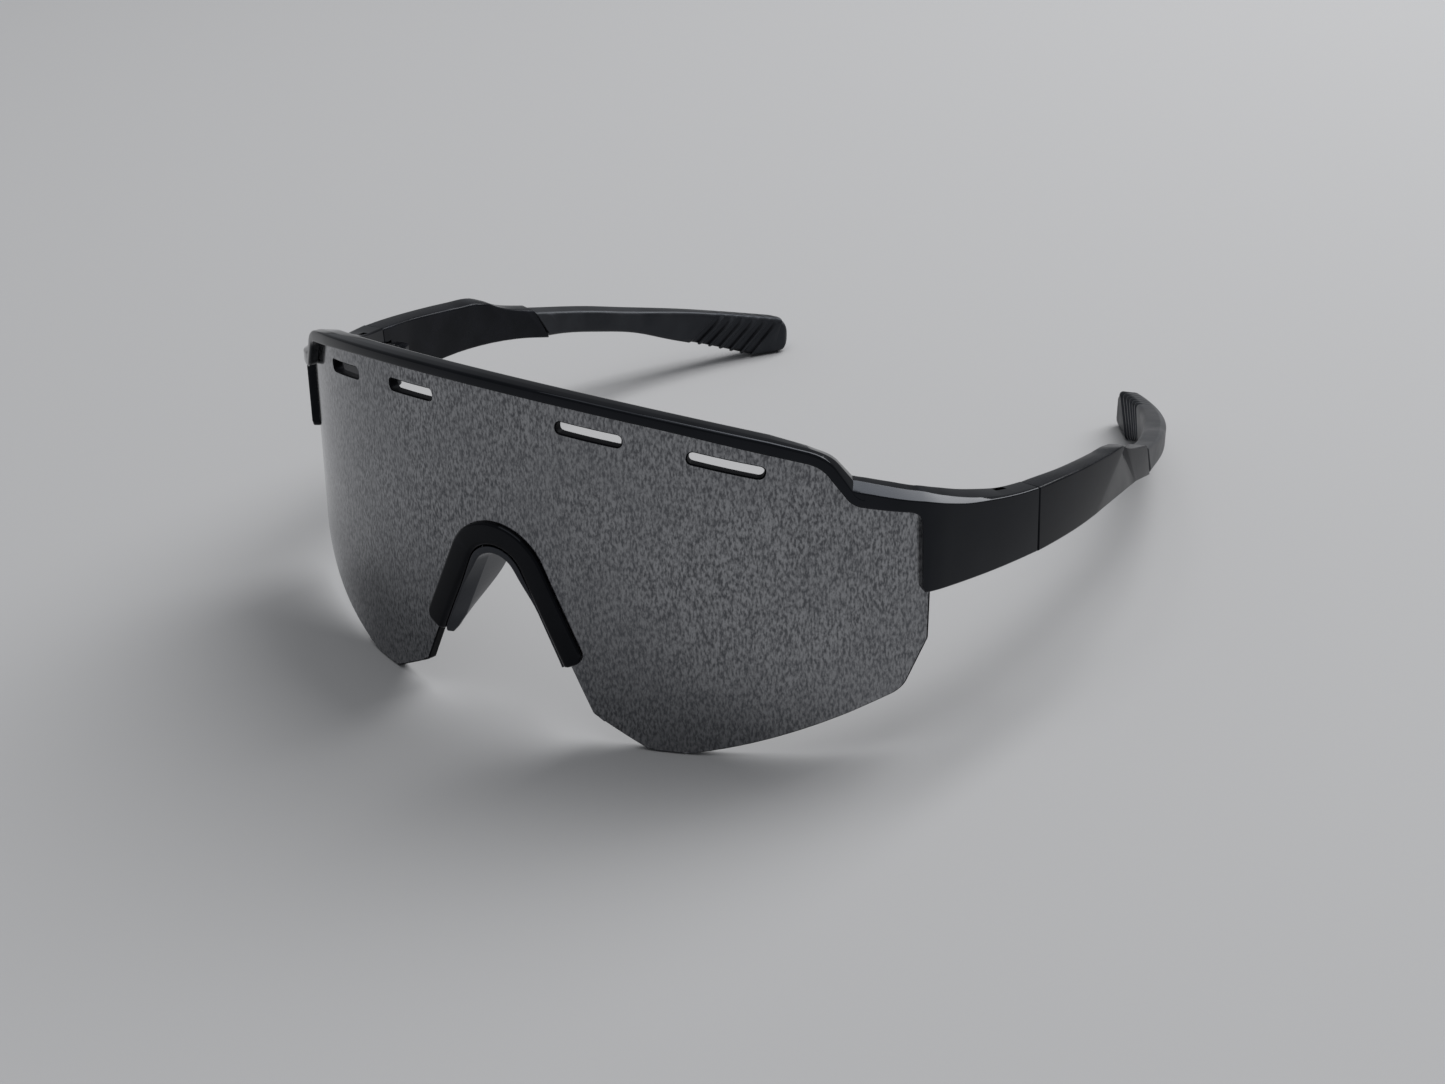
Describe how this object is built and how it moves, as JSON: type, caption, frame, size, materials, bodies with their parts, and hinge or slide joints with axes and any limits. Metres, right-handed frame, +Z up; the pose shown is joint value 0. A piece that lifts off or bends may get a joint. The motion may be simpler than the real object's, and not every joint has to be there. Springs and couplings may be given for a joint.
{
  "type": "wrap-around shield sunglasses",
  "caption": "Black half-rim sport sunglasses with a one-piece grey mirrored shield lens, vent slots, clip-on nose bridge and folding temples with rubber ear grips.",
  "frame": {"origin": "middle of the bounding box seen from above, on the table plane the glasses stand on", "axes": "+X to the wearer's left, +Y back along the open temples, +Z up; the lens faces -Y"},
  "size_m": [0.1454, 0.1615, 0.0616],
  "materials": {
    "mirror_lens": "grey flash-mirrored polycarbonate, glossy",
    "frame_black": "gloss black moulded nylon",
    "bridge_black": "gloss black moulded nylon",
    "saddle_rubber": "soft, half-gloss black elastomer",
    "temple_black": "satin black moulded nylon with fine wear marks",
    "grip_rubber": "satin charcoal elastomer, ribbed inside",
    "hinge_steel": "plain steel"
  },
  "bodies": {
    "front": {"brow_frame": "frame_black", "shield_lens": "mirror_lens", "nose_bridge": "bridge_black", "nose_saddle": "saddle_rubber", "hinge_screw_left": "hinge_steel", "hinge_screw_right": "hinge_steel", "hinge_nut_left": "hinge_steel", "hinge_nut_right": "hinge_steel"},
    "left_temple": {"temple_left": "temple_black", "ear_grip_left": "grip_rubber"},
    "right_temple": {"temple_right": "temple_black", "ear_grip_right": "grip_rubber"}
  },
  "joints": [
    {"name": "left_temple_fold", "type": "hinge", "parent": "front", "child": "left_temple", "pos_m": [0.06664, -0.02792, 0.03092], "axis": [0, 0.0489, 0.9988], "range_deg": [0, 90]},
    {"name": "right_temple_fold", "type": "hinge", "parent": "front", "child": "right_temple", "pos_m": [-0.06664, -0.02792, 0.03092], "axis": [0, -0.0489, -0.9988], "range_deg": [0, 80]}
  ]
}
